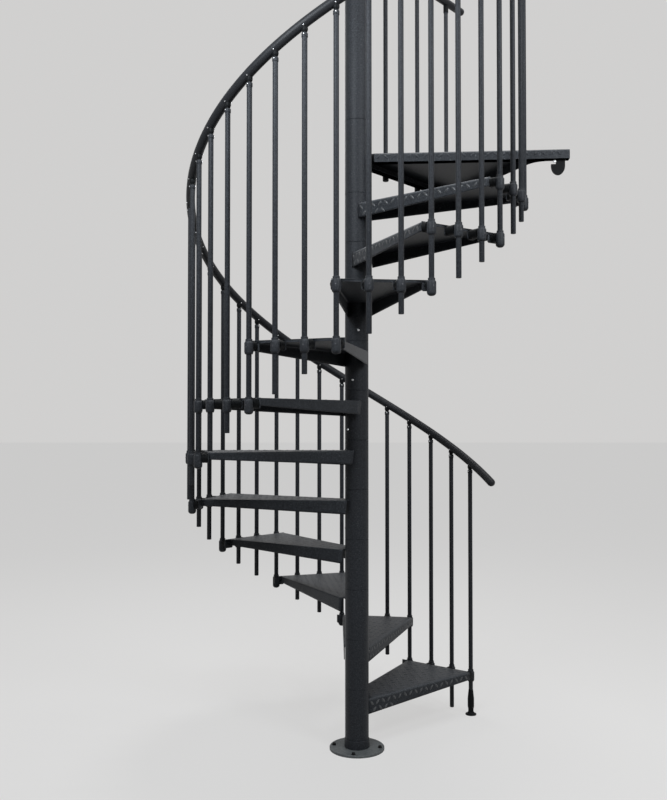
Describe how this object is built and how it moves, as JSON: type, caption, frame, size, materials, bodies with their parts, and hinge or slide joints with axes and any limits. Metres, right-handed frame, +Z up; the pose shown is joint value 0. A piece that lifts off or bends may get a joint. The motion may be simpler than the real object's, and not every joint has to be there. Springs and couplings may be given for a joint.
{
  "type": "spiral staircase",
  "caption": "Steel spiral staircase on a central column, with folded steel treads, a landing, tube balusters and a helical handrail.",
  "frame": {"origin": "centre of the base plate's underside, on the column's axis", "axes": "+Z up along the column; the stair climbs counter-clockwise seen from above, from its first baluster 38.7 degrees round from +X"},
  "size_m": [1.7642, 1.582, 3.8914],
  "materials": {
    "painted_steel": "textured powder coat",
    "base_grey": "matt grey coat",
    "black_plastic": "moulded",
    "rail_pvc": "satin PVC"
  },
  "bodies": {
    "root": {"balusters_corner": "painted_steel", "balusters_second": "painted_steel", "balusters_third": "painted_steel", "base_plate": "base_grey", "clamps_front": "painted_steel", "clamps_inner": "painted_steel", "clamps_rear": "painted_steel", "first_baluster": "painted_steel", "first_baluster_foot": "black_plastic", "foot_tube": "painted_steel", "handrail": "rail_pvc", "hubs_even": "painted_steel", "hubs_odd": "painted_steel", "landing": "painted_steel", "landing_bars": "painted_steel", "landing_cups": "painted_steel", "landing_hub": "painted_steel", "landing_knuckles": "black_plastic", "landing_rail": "rail_pvc", "landing_tongue": "black_plastic", "mast": "painted_steel", "newel_cap": "black_plastic", "newel_tube": "painted_steel", "rail_knuckles": "black_plastic", "spacers_corner": "black_plastic", "spacers_inner": "black_plastic", "tread_01": "painted_steel", "tread_02": "painted_steel", "tread_03": "painted_steel", "tread_04": "painted_steel", "tread_05": "painted_steel", "tread_06": "painted_steel", "tread_07": "painted_steel", "tread_08": "painted_steel", "tread_09": "painted_steel", "tread_10": "painted_steel", "tread_11": "painted_steel"}
  },
  "joints": []
}
